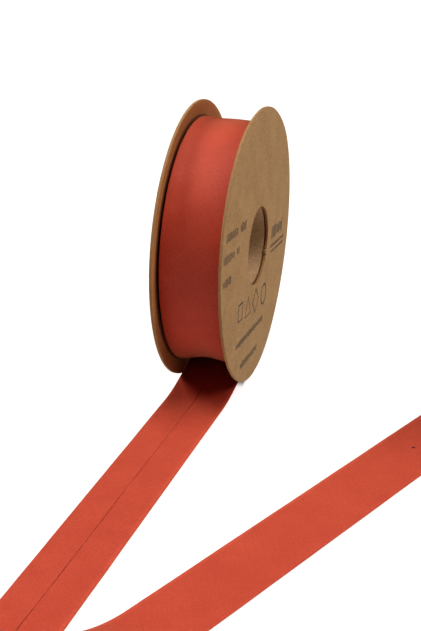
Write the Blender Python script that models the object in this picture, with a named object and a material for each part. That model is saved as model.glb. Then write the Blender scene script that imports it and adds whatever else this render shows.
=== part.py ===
"""Reel of folded bias binding with its loose end laid out in a narrow V.

Two card discs stand on edge with a card tube between them, and the tape is wound
on the tube. The loose end leaves the underside of the roll, lies down in front of
the reel, turns over in a soft loop and comes back beside the reel.

Metres, +Z up, +X along the reel's axis. Everything is first placed from the point
on the surface that lies straight under the reel's middle, then the whole is moved
so that the origin is the middle of the footprint.
"""

import math

import bmesh
import bpy
from mathutils import Vector

MM = 0.001

# The tape, and the gap that neighbouring pieces keep
TAPE_WIDTH = 20.0 * MM
TAPE_THICKNESS = 1.0 * MM
CLEARANCE = 0.3 * MM

# The card reel
DISC_RADIUS = 46.1 * MM
DISC_THICKNESS = 0.9 * MM
DISC_SPACING = 20.9 * MM
DISC_HOLE_RADIUS = 13.15 * MM
FLAT_SPOT_WIDTH = 6.0 * MM
TUBE_OUTER_RADIUS = 14.2 * MM
TUBE_INNER_RADIUS = 12.8 * MM
AXIS_HEIGHT = math.sqrt(DISC_RADIUS**2 - (FLAT_SPOT_WIDTH / 2.0) ** 2)

# The wound tape: its outer turn thins the roll by one layer as it goes round
ROLL_RADIUS_AT_TOP = 40.1 * MM
ROLL_LAYER = TAPE_THICKNESS + CLEARANCE
ROLL_STEP_ANGLE = math.radians(0.5)
FOLD_ROUNDING = 0.35 * MM
FOLD_WIDTH = 0.5 * MM
CENTRE_DIP_AT_FRONT = 0.5 * MM
CENTRE_RISE_AT_TOP = 0.3 * MM

# The loose end leaves the roll this far behind its lowest point, and bends
# down onto the surface with this radius
LEAVING_ANGLE = math.radians(10.2)
LANDING_RADIUS = 67.0 * MM

# The first run lies a little off the reel's middle plane: sideways offset under
# the axis, heading, and the length over which the tape swings to that heading
FIRST_RUN_OFFSET = 0.6 * MM
FIRST_RUN_HEADING = math.radians(-92.55)
SWING_LENGTH = 28.0 * MM

# The second run comes back at this heading. The middles of the two runs, drawn
# on, meet at this distance in front of the axis
SECOND_RUN_HEADING = math.radians(65.73)
MEETING_DISTANCE = 220.2 * MM
SECOND_RUN_LENGTH = 232.6 * MM

# The turn-over: how steeply the tape comes down, how softly it lands, and how
# far before the meeting point it lies flat again
DESCENT_ANGLE = math.radians(20.0)
TURN_LANDING_RADIUS = 42.6 * MM
TURN_LANDING_DISTANCE = 82.1 * MM

# How finely the round shapes are cut
DISC_SIDES = 96
TUBE_SIDES = 64
ROLL_SIDES = 120
LEAD_STATIONS = 14
NOSE_STATIONS = 24
LANDING_STATIONS = 6

CARD_COLOUR = (0.318, 0.184, 0.084, 1.0)
TUBE_COLOUR = (0.230, 0.130, 0.062, 1.0)
TAPE_COLOUR = (0.570, 0.090, 0.045, 1.0)


def make_material(name, colour, roughness):
    """A plain non-metal finish."""
    material = bpy.data.materials.new(name)
    material.use_nodes = True
    shader = material.node_tree.nodes["Principled BSDF"]
    shader.inputs["Base Color"].default_value = colour
    shader.inputs["Roughness"].default_value = roughness
    shader.inputs["Metallic"].default_value = 0.0
    return material


def loft(name, rings, material, closed):
    """Join rings of points into one solid, end to start if closed, else capped."""
    mesh_builder = bmesh.new()
    loops = [[mesh_builder.verts.new(point) for point in ring] for ring in rings]
    pairs = list(zip(loops, loops[1:]))
    if closed:
        pairs.append((loops[-1], loops[0]))
    else:
        mesh_builder.faces.new(loops[0])
        mesh_builder.faces.new(loops[-1])
    for near, far in pairs:
        for i in range(len(near)):
            j = (i + 1) % len(near)
            mesh_builder.faces.new((near[i], near[j], far[j], far[i]))
    bmesh.ops.recalc_face_normals(mesh_builder, faces=mesh_builder.faces)
    mesh = bpy.data.meshes.new(name)
    mesh_builder.to_mesh(mesh)
    mesh_builder.free()
    mesh.materials.append(material)
    mesh.shade_smooth()
    mesh.set_sharp_from_angle(angle=math.radians(35.0))
    piece = bpy.data.objects.new(name, mesh)
    bpy.context.scene.collection.objects.link(piece)
    return piece


def about_axis(x, radius, angle):
    """A point round the reel's axis, the angle from its lowest point to the back."""
    return Vector((x, radius * math.sin(angle), AXIS_HEIGHT - radius * math.cos(angle)))


def turned_ring(x_low, x_high, inner_radius, outer_radius, angle):
    """The four corners of a turned piece's section at one angle."""
    corners = (
        (x_low, inner_radius),
        (x_high, inner_radius),
        (x_high, outer_radius),
        (x_low, outer_radius),
    )
    return [about_axis(x, radius, angle) for x, radius in corners]


def disc(name, side, card):
    """One card disc; side is -1 on the left and +1 on the right."""
    inner_face = side * DISC_SPACING / 2.0
    outer_face = inner_face + side * DISC_THICKNESS
    rings = []
    for i in range(DISC_SIDES):
        angle = math.tau * i / DISC_SIDES
        reach = DISC_RADIUS
        if math.cos(angle) * DISC_RADIUS > AXIS_HEIGHT:
            reach = AXIS_HEIGHT / math.cos(angle)
        rings.append(turned_ring(inner_face, outer_face, DISC_HOLE_RADIUS, reach, angle))
    return loft(name, rings, card, closed=True)


def core_tube(card):
    """The card tube that joins the discs and lines the bore."""
    half = DISC_SPACING / 2.0 - CLEARANCE
    rings = []
    for i in range(TUBE_SIDES):
        angle = math.tau * i / TUBE_SIDES
        rings.append(turned_ring(-half, half, TUBE_INNER_RADIUS, TUBE_OUTER_RADIUS, angle))
    return loft("core_tube", rings, card, closed=True)


def roll_radius(angle):
    """The roll's outer radius, from the leaving point once round to its layer below."""
    turned = (angle - LEAVING_ANGLE) / math.tau
    turned_at_top = (math.pi - LEAVING_ANGLE) / math.tau
    return ROLL_RADIUS_AT_TOP + ROLL_LAYER * (turned_at_top - turned)


def centre_lift(angle):
    """How far the middle of the tape stands proud, over the top and under the front."""
    height = (1.0 - math.cos(angle)) / 2.0
    return CENTRE_RISE_AT_TOP * height - CENTRE_DIP_AT_FRONT * (1.0 - height)


def wound_roll(cloth):
    """The wound tape as one solid, with the step where its last turn leaves."""
    half = TAPE_WIDTH / 2.0
    inner_radius = TUBE_OUTER_RADIUS + CLEARANCE
    profile = (
        (half, -FOLD_ROUNDING, 0.0),
        (half - FOLD_WIDTH, 0.0, 0.0),
        (half / 2.0, 0.0, 0.5),
        (0.0, 0.0, 1.0),
        (-half / 2.0, 0.0, 0.5),
        (-half + FOLD_WIDTH, 0.0, 0.0),
        (-half, -FOLD_ROUNDING, 0.0),
    )
    rings = []
    for i in range(ROLL_SIDES + 1):
        angle = LEAVING_ANGLE + (math.tau - ROLL_STEP_ANGLE) * i / ROLL_SIDES
        ring = [about_axis(-half, inner_radius, angle), about_axis(half, inner_radius, angle)]
        for x, drop, share in profile:
            radius = roll_radius(angle) + drop + share * centre_lift(angle)
            ring.append(about_axis(x, radius, angle))
        rings.append(ring)
    return loft("tape_roll", rings, cloth, closed=True)


def sheet_ring(middle, across, normal):
    """The four corners of the tape's section: across runs from its middle to one edge."""
    up = normal * TAPE_THICKNESS / 2.0
    return [middle - across - up, middle + across - up, middle + across + up, middle - across + up]


def swing(y):
    """Sideways place and slope of the tape's middle where it swings to the first run."""
    slope = 1.0 / math.tan(FIRST_RUN_HEADING)
    bend_middle = -FIRST_RUN_OFFSET / slope
    start = bend_middle + SWING_LENGTH / 2.0
    end = bend_middle - SWING_LENGTH / 2.0
    if y >= start:
        return 0.0, 0.0
    if y <= end:
        return slope * (y - bend_middle), slope
    return -slope * (start - y) ** 2 / (2.0 * SWING_LENGTH), slope * (start - y) / SWING_LENGTH


def lead_rings():
    """From the roll down to the surface: a straight slope, then a soft landing."""
    leaving_radius = roll_radius(LEAVING_ANGLE) - TAPE_THICKNESS / 2.0
    start = about_axis(0.0, leaving_radius, LEAVING_ANGLE)
    rest_height = TAPE_THICKNESS / 2.0
    landing_drop = LANDING_RADIUS * (1.0 - math.cos(LEAVING_ANGLE))
    slope_length = (start.z - rest_height - landing_drop) / math.sin(LEAVING_ANGLE)
    landing_length = LANDING_RADIUS * LEAVING_ANGLE
    first = 2.0 * CLEARANCE
    rings = []
    for i in range(LEAD_STATIONS + 1):
        run = first + (slope_length + landing_length - first) * i / LEAD_STATIONS
        straight = min(run, slope_length)
        steepness = LEAVING_ANGLE - max(run - slope_length, 0.0) / LANDING_RADIUS
        curved = LANDING_RADIUS * (math.sin(LEAVING_ANGLE) - math.sin(steepness))
        lowered = LANDING_RADIUS * (math.cos(steepness) - math.cos(LEAVING_ANGLE))
        y = start.y - straight * math.cos(LEAVING_ANGLE) - curved
        z = start.z - straight * math.sin(LEAVING_ANGLE) - lowered
        x, slope = swing(y)
        across = Vector((1.0, -slope, 0.0)).normalized() * TAPE_WIDTH / 2.0
        normal = Vector((0.0, -math.sin(steepness), math.cos(steepness)))
        rings.append(sheet_ring(Vector((x, y, z)), across, normal))
    return rings


def heading_vector(heading):
    """A level unit vector."""
    return Vector((math.cos(heading), math.sin(heading), 0.0))


class TurnOver:
    """The loop in which the tape turns over, bent round straight slanting lines.

    The bend's lines halve the angle between the two runs, so the flat tape keeps
    its width and its straight edges all the way round the loop.
    """

    def __init__(self):
        slope = 1.0 / math.tan(FIRST_RUN_HEADING)
        self.meeting = Vector((FIRST_RUN_OFFSET - slope * MEETING_DISTANCE, -MEETING_DISTANCE, 0.0))
        self.first_heading = heading_vector(FIRST_RUN_HEADING)
        self.line = heading_vector((FIRST_RUN_HEADING + SECOND_RUN_HEADING) / 2.0)
        self.forward = Vector((self.line.y, -self.line.x, 0.0))
        angle = DESCENT_ANGLE
        landing_arc = TURN_LANDING_RADIUS * angle
        reach = math.pi + angle + math.sin(angle) + (1.0 + math.cos(angle)) ** 2 / math.sin(angle)
        self.nose_radius = (2.0 * TURN_LANDING_DISTANCE - landing_arc) / reach
        rise = self.nose_radius * (1.0 + math.cos(angle))
        drop = TURN_LANDING_RADIUS * (1.0 - math.cos(angle))
        self.descent = (rise - drop) / math.sin(angle)
        self.nose_arc = self.nose_radius * (math.pi + angle)
        self.landing_arc = landing_arc
        loop = self.nose_arc + self.descent + landing_arc
        self.lift_off = TURN_LANDING_DISTANCE - loop

    def section(self, run):
        """Forward place, height and heading after this length of the loop."""
        turned = math.pi + DESCENT_ANGLE
        if run <= self.nose_arc:
            angle = run / self.nose_radius
            forward = self.nose_radius * math.sin(angle)
            return forward, self.nose_radius * (1.0 - math.cos(angle)), angle
        forward = self.nose_radius * math.sin(turned)
        height = self.nose_radius * (1.0 - math.cos(turned))
        straight = min(run - self.nose_arc, self.descent)
        forward += straight * math.cos(turned)
        height += straight * math.sin(turned)
        angle = turned - max(run - self.nose_arc - self.descent, 0.0) / TURN_LANDING_RADIUS
        forward -= TURN_LANDING_RADIUS * (math.sin(angle) - math.sin(turned))
        height -= TURN_LANDING_RADIUS * (math.cos(turned) - math.cos(angle))
        return forward, height, angle

    def ring(self, run):
        """The tape's section along one of the bend's lines."""
        forward, height, angle = self.section(run)
        flat_place = self.lift_off + run
        along = flat_place / self.first_heading.dot(self.forward)
        slant = self.first_heading.dot(self.line)
        square = Vector((-self.first_heading.y, self.first_heading.x, 0.0))
        half = TAPE_WIDTH / 2.0 / square.dot(self.line)
        middle = self.meeting + self.line * along * slant
        middle += self.forward * (self.lift_off + forward)
        middle.z = TAPE_THICKNESS / 2.0 + height
        normal = Vector((0.0, 0.0, math.cos(angle))) - self.forward * math.sin(angle)
        return sheet_ring(middle, self.line * half, normal)

    def rings(self):
        """Sections round the nose, at the foot of the descent and down the landing."""
        runs = [self.nose_arc * i / NOSE_STATIONS for i in range(NOSE_STATIONS + 1)]
        foot = self.nose_arc + self.descent
        runs += [foot + self.landing_arc * i / LANDING_STATIONS for i in range(LANDING_STATIONS + 1)]
        return [self.ring(run) for run in runs]


def loose_end(cloth):
    """The free tape from the roll to its square-cut end, as one sheet."""
    turn = TurnOver()
    heading = heading_vector(SECOND_RUN_HEADING)
    end = turn.meeting + heading * SECOND_RUN_LENGTH
    end.z = TAPE_THICKNESS / 2.0
    across = Vector((heading.y, -heading.x, 0.0)) * TAPE_WIDTH / 2.0
    rings = lead_rings() + turn.rings()
    rings.append(sheet_ring(end, across, Vector((0.0, 0.0, -1.0))))
    return loft("loose_end", rings, cloth, closed=False)


def footprint_middle(pieces):
    """The middle of the box round the pieces, on the surface."""
    points = [vertex.co for piece in pieces for vertex in piece.data.vertices]
    middle = [(min(p[i] for p in points) + max(p[i] for p in points)) / 2.0 for i in (0, 1)]
    return Vector((middle[0], middle[1], 0.0))


def main():
    for old in list(bpy.data.objects):
        bpy.data.objects.remove(old)
    card = make_material("card", CARD_COLOUR, 0.85)
    tube_card = make_material("tube_card", TUBE_COLOUR, 0.9)
    cloth = make_material("cloth", TAPE_COLOUR, 0.9)
    pieces = [
        disc("flange_left", -1.0, card),
        disc("flange_right", 1.0, card),
        core_tube(tube_card),
        wound_roll(cloth),
        loose_end(cloth),
    ]
    footing = bpy.data.objects.new("footing", None)
    bpy.context.scene.collection.objects.link(footing)
    footing.location = -footprint_middle(pieces)
    for piece in pieces:
        piece.parent = footing


main()
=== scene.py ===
# %% [markdown]
# # A reel of folded bias binding
#
# A card reel stands on edge, wound with a flat tape of woven cotton that was cut on the
# bias and folded so that both raw edges meet along its middle. The loose end runs out in
# front of the reel, turns over in a soft loop and comes back beside it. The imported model
# already holds every size and place. This file makes what is seen of them: the folded
# cloth, the wound turns, the card, the print marks, the light and the view.

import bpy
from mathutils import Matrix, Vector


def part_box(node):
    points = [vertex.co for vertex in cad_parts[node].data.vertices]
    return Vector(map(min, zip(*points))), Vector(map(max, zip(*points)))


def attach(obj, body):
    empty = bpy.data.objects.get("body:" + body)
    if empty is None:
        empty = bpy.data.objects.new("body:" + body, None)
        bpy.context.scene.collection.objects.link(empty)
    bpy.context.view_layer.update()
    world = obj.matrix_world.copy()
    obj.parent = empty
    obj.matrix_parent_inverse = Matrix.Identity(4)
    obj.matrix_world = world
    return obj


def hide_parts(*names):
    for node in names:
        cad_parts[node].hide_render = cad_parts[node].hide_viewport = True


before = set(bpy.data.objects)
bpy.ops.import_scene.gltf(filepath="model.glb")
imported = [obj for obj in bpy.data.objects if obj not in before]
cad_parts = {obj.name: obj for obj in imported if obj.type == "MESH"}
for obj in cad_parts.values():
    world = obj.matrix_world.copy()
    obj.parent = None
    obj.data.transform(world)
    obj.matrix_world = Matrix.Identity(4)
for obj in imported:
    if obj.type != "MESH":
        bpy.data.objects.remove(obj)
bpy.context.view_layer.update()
print("model nodes:", ", ".join(sorted(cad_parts)))

# %% Blender's own modules
import math

import bmesh
import bpy
from mathutils import Matrix, Vector, noise

MM = 0.001

# %% [markdown]
# ## Where the reel stands
#
# Every piece below is placed round the reel's axis, so the axis comes first. It could be
# typed in again, but two copies of one number drift apart. It is read from the boxes of
# the two discs and the tube instead. An angle round the axis starts at the lowest point
# and grows towards the back, which is the way the tape is followed inwards.

# %% The reel's axis and its sizes, read from the model
left_low, left_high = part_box("flange_left")
right_low, right_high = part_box("flange_right")
tube_low, tube_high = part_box("core_tube")

DISC_RADIUS = (right_high.y - right_low.y) / 2.0
DISC_THICKNESS = right_high.x - right_low.x
DISC_SPACING = right_low.x - left_high.x
TUBE_OUTER_RADIUS = (tube_high.y - tube_low.y) / 2.0
TUBE_LENGTH = tube_high.x - tube_low.x
AXIS_HEIGHT = right_high.z - DISC_RADIUS
REEL = Vector(((left_high.x + right_low.x) / 2.0, (right_low.y + right_high.y) / 2.0, 0.0))


def about_axis(x, radius, angle):
    """A point round the reel's axis, the angle from its lowest point to the back."""
    sideways = radius * math.sin(angle)
    return REEL + Vector((x, sideways, AXIS_HEIGHT - radius * math.cos(angle)))


print(f"disc {2 * DISC_RADIUS / MM:.1f} mm across, {DISC_SPACING / MM:.1f} mm between the discs")

# %% [markdown]
# ## The view
#
# The camera stands a little right of the reel's middle, above it, and looks down. Its lens
# and place were found by fitting a pinhole camera to the rims, the hole and both runs of
# tape. A camera could be aimed with a tracking constraint, but three plain turns keep the
# small tilt of the picture as well.

# %% Camera at the photograph's viewing angle
CAMERA_FROM_REEL = Vector((100.505, -367.222, 180.805)) * MM
CAMERA_YAW = math.radians(-16.029)
CAMERA_PITCH = math.radians(23.056)
CAMERA_ROLL = math.radians(0.556)
LENS_LENGTH = 68.67
SENSOR_LENGTH = 36.0


def camera_axes():
    """Unit vectors to the camera's right, up and front."""
    level = math.cos(CAMERA_PITCH)
    sideways = math.sin(CAMERA_YAW) * level
    front = Vector((sideways, math.cos(CAMERA_YAW) * level, -math.sin(CAMERA_PITCH)))
    flat_right = Vector((math.cos(CAMERA_YAW), -math.sin(CAMERA_YAW), 0.0))
    flat_up = flat_right.cross(front)
    right = flat_right * math.cos(CAMERA_ROLL) + flat_up * math.sin(CAMERA_ROLL)
    up = flat_up * math.cos(CAMERA_ROLL) - flat_right * math.sin(CAMERA_ROLL)
    return right, up, front


right, up, front = camera_axes()
camera_data = bpy.data.cameras.new("photo_camera")
camera_data.lens = LENS_LENGTH
camera_data.sensor_width = SENSOR_LENGTH
camera_data.sensor_fit = "AUTO"
camera_data.clip_start = 0.01
camera_data.dof.use_dof = False
camera = bpy.data.objects.new("photo_camera", camera_data)
turned = Matrix((right, up, -front)).transposed().to_4x4()
camera.matrix_world = Matrix.Translation(REEL + CAMERA_FROM_REEL) @ turned
bpy.context.scene.collection.objects.link(camera)
bpy.context.scene.camera = camera
print("camera at", [round(c, 3) for c in camera.location])

# %% [markdown]
# ## Helpers for node trees
#
# Materials and geometry trees are both node trees. Wiring them by hand takes three lines
# for each link, so one small function adds a node, sets its options and fills its sockets
# with plain values or with another node's output.

# %% Add a node and fill its sockets
def node(tree, kind, inputs=None, **options):
    """Add one node; inputs maps a socket's name or number to a value or an output."""
    made = tree.nodes.new(kind)
    for key, value in options.items():
        setattr(made, key, value)
    for key, value in (inputs or {}).items():
        if isinstance(value, bpy.types.NodeSocket):
            tree.links.new(value, made.inputs[key])
        else:
            made.inputs[key].default_value = value
    return made


def calc(tree, operation, *values):
    """The output of one Math node."""
    made = node(tree, "ShaderNodeMath", dict(enumerate(values)), operation=operation)
    return made.outputs[0]


def fade(tree, value, low, high, low_result=0.0, high_result=1.0):
    """A soft step: low_result at low, high_result at high."""
    inputs = {"Value": value, 1: low, 2: high, 3: low_result, 4: high_result}
    made = node(tree, "ShaderNodeMapRange", inputs, interpolation_type="SMOOTHSTEP")
    return made.outputs["Result"]


def speckle(tree, place, scale, detail=2.0, roughness=0.5):
    """Noise between 0 and 1 at a place."""
    inputs = {"Vector": place, "Scale": scale, "Detail": detail, "Roughness": roughness}
    return node(tree, "ShaderNodeTexNoise", inputs).outputs["Fac"]


def blend_colours(tree, share, first, second, mode="MIX"):
    """Mix two colours by a share."""
    made = node(tree, "ShaderNodeMix", data_type="RGBA", blend_type=mode)
    for key, value in ((0, share), (6, first), (7, second)):
        if isinstance(value, bpy.types.NodeSocket):
            tree.links.new(value, made.inputs[key])
        else:
            made.inputs[key].default_value = value
    return made.outputs[2]


def new_material(name, roughness):
    """A node material with its tree and its shader."""
    material = bpy.data.materials.new(name)
    material.use_nodes = True
    shader = material.node_tree.nodes["Principled BSDF"]
    shader.inputs["Roughness"].default_value = roughness
    return material, material.node_tree, shader


# %% [markdown]
# ## The cloth
#
# The tape is a plain weave of fine cotton, cut at 45 degrees to its threads and pressed.
# A picture of cloth would be simplest, but it would repeat and blur. The weave is worked
# out from the tape's own UV map instead, which holds real metres across and along the cut
# cloth: two sets of round threads at 45 degrees, each on top in turn. Uneven threads, a
# faint mottle, a painted shade in the hollows between threads, a painted highlight along
# both folds and a soft sheen go over it.

# %% Material: woven cotton on the bias
THREAD_PITCH = 0.27 * MM
SLUB_SCALE = 1.0 / (1.3 * THREAD_PITCH)
SLUB_STRETCH = 0.03
# Width of the painted highlight along each fold.
FOLD_HIGHLIGHT_REACH = 1.1 * MM
SPECK_SIZE = 0.95 * MM
SPECK_CORE = 0.60 * MM
CLOTH_COLOUR = (0.505, 0.080, 0.041, 1.0)
CLOTH_PALE = (0.650, 0.130, 0.070, 1.0)
CLOTH_DEEP = (0.420, 0.046, 0.024, 1.0)
SPECK_COLOUR = (0.045, 0.004, 0.002, 1.0)
CUT_WIDTH = 40.0 * MM


def thread_wave(tree, along):
    """The sine of one set of threads, one half wave for each thread."""
    return calc(tree, "SINE", calc(tree, "MULTIPLY", along, math.pi / THREAD_PITCH))


def cloth_material(speck_across, speck_along):
    """Bias-cut plain weave, mapped in metres of cut cloth."""
    material, tree, shader = new_material("bias_cotton", 0.62)
    uv = node(tree, "ShaderNodeUVMap", uv_map="cut_cloth")
    parts = node(tree, "ShaderNodeSeparateXYZ", {0: uv.outputs["UV"]})
    across = parts.outputs["X"]
    along = parts.outputs["Y"]
    half_root = math.sqrt(0.5)
    warp = calc(tree, "MULTIPLY", calc(tree, "ADD", across, along), half_root)
    weft = calc(tree, "MULTIPLY", calc(tree, "SUBTRACT", across, along), half_root)
    warp_wave = thread_wave(tree, warp)
    weft_wave = thread_wave(tree, weft)
    over = calc(tree, "MULTIPLY_ADD", calc(tree, "MULTIPLY", warp_wave, weft_wave), 0.5, 0.5)
    under = calc(tree, "SUBTRACT", 1.0, over)
    warp_round = calc(tree, "MULTIPLY", calc(tree, "ABSOLUTE", warp_wave), over)
    weft_round = calc(tree, "MULTIPLY", calc(tree, "ABSOLUTE", weft_wave), under)
    weave = calc(tree, "ADD", warp_round, weft_round)

    warp_slow = calc(tree, "MULTIPLY", weft, SLUB_STRETCH)
    weft_slow = calc(tree, "MULTIPLY", warp, SLUB_STRETCH)
    warp_place = node(tree, "ShaderNodeCombineXYZ", {0: warp, 1: warp_slow})
    weft_place = node(tree, "ShaderNodeCombineXYZ", {0: weft_slow, 1: weft, 2: 1.0})
    warp_slub = speckle(tree, warp_place.outputs[0], SLUB_SCALE, 1.0)
    weft_slub = speckle(tree, weft_place.outputs[0], SLUB_SCALE, 1.0)
    slub = calc(tree, "ADD", warp_slub, weft_slub)
    mottle = speckle(tree, uv.outputs["UV"], 90.0, 4.0, 0.55)
    grain = speckle(tree, uv.outputs["UV"], 1500.0, 2.0, 0.6)

    tone = calc(tree, "MULTIPLY_ADD", slub, 0.45, -0.45)
    tone = calc(tree, "MULTIPLY_ADD", mottle, 0.9, calc(tree, "SUBTRACT", tone, 0.45))
    tone = calc(tree, "MULTIPLY_ADD", grain, 1.4, calc(tree, "SUBTRACT", tone, 0.70))
    # Painted highlight: the tone is raised in a band along both folds, which turns them paler.
    past_fold = calc(tree, "SUBTRACT", calc(tree, "ABSOLUTE", across), CUT_WIDTH / 4.0)
    fold = fade(tree, calc(tree, "ABSOLUTE", past_fold), FOLD_HIGHLIGHT_REACH, 0.1 * MM)
    tone = calc(tree, "MULTIPLY_ADD", fold, 0.35, tone)
    pale = calc(tree, "MULTIPLY", tone, 1.0)
    pale.node.use_clamp = True
    deep = calc(tree, "MULTIPLY", tone, -1.0)
    deep.node.use_clamp = True
    colour = blend_colours(tree, pale, CLOTH_COLOUR, CLOTH_PALE)
    colour = blend_colours(tree, deep, colour, CLOTH_DEEP)
    # Painted shade: the colour is darkened in the hollows between the threads.
    hollow_shade = calc(tree, "MULTIPLY", fade(tree, weave, 0.45, 0.05), 0.45)
    colour = blend_colours(tree, hollow_shade, colour, CLOTH_DEEP, "MULTIPLY")

    ends = {0: uv.outputs["UV"], 1: (speck_across, speck_along, 0.0)}
    spot = node(tree, "ShaderNodeVectorMath", ends, operation="DISTANCE")
    ragged = calc(tree, "MULTIPLY_ADD", grain, 0.5 * MM, spot.outputs["Value"])
    colour = blend_colours(tree, fade(tree, ragged, SPECK_SIZE, SPECK_CORE), colour, SPECK_COLOUR)
    tree.links.new(colour, shader.inputs["Base Color"])

    height = calc(tree, "MULTIPLY_ADD", slub, 0.5, weave)
    bump = node(tree, "ShaderNodeBump", {"Strength": 0.5, "Distance": 0.06 * MM, "Height": height})
    tree.links.new(bump.outputs["Normal"], shader.inputs["Normal"])
    shader.inputs["Specular IOR Level"].default_value = 0.5
    shader.inputs["Sheen Weight"].default_value = 1.0
    shader.inputs["Sheen Roughness"].default_value = 0.37
    shader.inputs["Sheen Tint"].default_value = (1.0, 0.66, 0.43, 1.0)
    return material


# %% [markdown]
# ## How the tape is folded
#
# Seen from its cut end the tape is a flat C: one whole ply, a round fold at each edge, and
# two half plies whose raw edges almost meet. A flat strip with a line drawn on it would
# pass from far away, but the real seam is a slit that shadow falls into. So the section is
# made as a thin band that follows the fold, and the seam and both folds are really there.

# %% The folded section of the tape
TAPE_WIDTH = 20.0 * MM
PLY = 0.21 * MM
ROLL_PLY_GAP = 0.03 * MM
FREE_PLY_GAP = 0.10 * MM
SEAM_OFFSET = -0.5 * MM
HALF_PLY_STEPS = 8
WHOLE_PLY_STEPS = 16
FOLD_STEPS = 6


def steps(first, last, count):
    """Evenly spaced values, both ends included."""
    return [first + (last - first) * i / count for i in range(count + 1)]


def fold_line(ply_gap, seam_place, seam_gap):
    """The middle line of the cloth, from raw edge to raw edge.

    Each entry is across, height, and the direction away from the fold's inside.
    """
    fold_radius = (PLY + ply_gap) / 2.0
    middle = PLY + ply_gap / 2.0
    fold_centre = TAPE_WIDTH / 2.0 - middle
    line = []
    for x in steps(seam_place - seam_gap / 2.0, -fold_centre, HALF_PLY_STEPS)[:-1]:
        line.append((x, middle + fold_radius, 0.0, 1.0))
    for turn in steps(0.0, math.pi, FOLD_STEPS):
        x = -fold_centre - fold_radius * math.sin(turn)
        line.append((x, middle + fold_radius * math.cos(turn), -math.sin(turn), math.cos(turn)))
    for x in steps(-fold_centre, fold_centre, WHOLE_PLY_STEPS)[1:-1]:
        line.append((x, middle - fold_radius, 0.0, -1.0))
    for turn in steps(math.pi, 0.0, FOLD_STEPS):
        x = fold_centre + fold_radius * math.sin(turn)
        line.append((x, middle + fold_radius * math.cos(turn), math.sin(turn), math.cos(turn)))
    for x in steps(fold_centre, seam_place + seam_gap / 2.0, HALF_PLY_STEPS)[1:]:
        line.append((x, middle + fold_radius, 0.0, 1.0))
    return line


def cut_places(line):
    """How far each point of the fold line lies from the middle of the cut cloth."""
    run = [0.0]
    for near, far in zip(line, line[1:]):
        run.append(run[-1] + math.hypot(far[0] - near[0], far[1] - near[1]))
    return [place - run[-1] / 2.0 for place in run]


sample = fold_line(FREE_PLY_GAP, SEAM_OFFSET, 0.3 * MM)
print(f"cut width {2 * cut_places(sample)[-1] / MM:.1f} mm")
print(f"thickness {(2 * PLY + FREE_PLY_GAP) / MM:.2f} mm")

# %% [markdown]
# ## Where the tape lies
#
# One function answers the whole question: given a place along the tape, across it and
# through its thickness, where is that point? It goes once round the roll, down the short
# slope, along the surface, round the loop and back. Cloth bends round straight lines, so
# the loop is bent round lines that halve the angle of the V, and the tape keeps its width
# and its straight edges all the way.

# %% The roll's outline
WOUND_LAYER = 0.465 * MM
ROLL_RADIUS_AT_TOP = 40.1 * MM
LEAVING_ANGLE = math.radians(10.2)
TUCKED_UNDER = math.radians(20.0)
CENTRE_DIP_AT_FRONT = 0.5 * MM
CENTRE_RISE_AT_TOP = 0.3 * MM
LEFT_FLARE = 0.6 * MM
SLACK_LEFT = 0.9 * MM
SLACK_RIGHT = 0.5 * MM
ROLL_SHIFT = -0.3 * MM


def roll_outside(angle):
    """Radius of the tape's outer face, one layer less for each turn inwards."""
    return ROLL_RADIUS_AT_TOP + WOUND_LAYER * (math.pi - angle) / math.tau


def soft_step(value, low, high):
    """0 at low, 1 at high, smooth between them; low may be the larger."""
    share = min(max((value - low) / (high - low), 0.0), 1.0)
    return share * share * (3.0 - 2.0 * share)


def crown(x, angle):
    """How far the tape stands proud of a true cylinder.

    Its middle rises on top and dips in front, its left edge flares on top, and both
    edges hang slack low in front.
    """
    height = (1.0 - math.cos(angle)) / 2.0
    lift = CENTRE_RISE_AT_TOP * height - CENTRE_DIP_AT_FRONT * (1.0 - height)
    arch = lift * math.cos(math.pi * x / TAPE_WIDTH) ** 2
    flare = LEFT_FLARE * soft_step(height, 0.6, 1.0) * soft_step(x, -5.0 * MM, -10.0 * MM)
    front = -angle % math.tau
    slack = SLACK_LEFT * soft_step(x, -2.0 * MM, -10.0 * MM)
    slack += SLACK_RIGHT * soft_step(x, 0.0, 7.0 * MM)
    slack *= soft_step(front, math.radians(85.0), math.radians(30.0))
    slack *= soft_step(front, math.radians(2.0), math.radians(18.0))
    return arch + flare + slack


# %% The loose end's route over the surface
LANDING_RADIUS = 67.0 * MM
FIRST_RUN_OFFSET = 0.4 * MM
FIRST_RUN_HEADING = math.radians(-92.55)
SWING_LENGTH = 28.0 * MM
SECOND_RUN_HEADING = math.radians(65.73)
MEETING_DISTANCE = 220.2 * MM
SECOND_RUN_LENGTH = 232.6 * MM
DESCENT_ANGLE = math.radians(20.0)
TURN_LANDING_RADIUS = 42.6 * MM
TURN_LANDING_DISTANCE = 82.1 * MM
FREE_THICKNESS = 2.0 * PLY + FREE_PLY_GAP

FIRST_SLOPE = 1.0 / math.tan(FIRST_RUN_HEADING)
SWING_MIDDLE = -FIRST_RUN_OFFSET / FIRST_SLOPE
LEAVING_POINT = about_axis(0.0, roll_outside(LEAVING_ANGLE), LEAVING_ANGLE) - REEL
LANDING_DROP = LANDING_RADIUS * (1.0 - math.cos(LEAVING_ANGLE))
SLOPE_LENGTH = (LEAVING_POINT.z - LANDING_DROP) / math.sin(LEAVING_ANGLE)
LANDING_LENGTH = LANDING_RADIUS * LEAVING_ANGLE
LANDED_AT = SLOPE_LENGTH + LANDING_LENGTH


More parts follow.
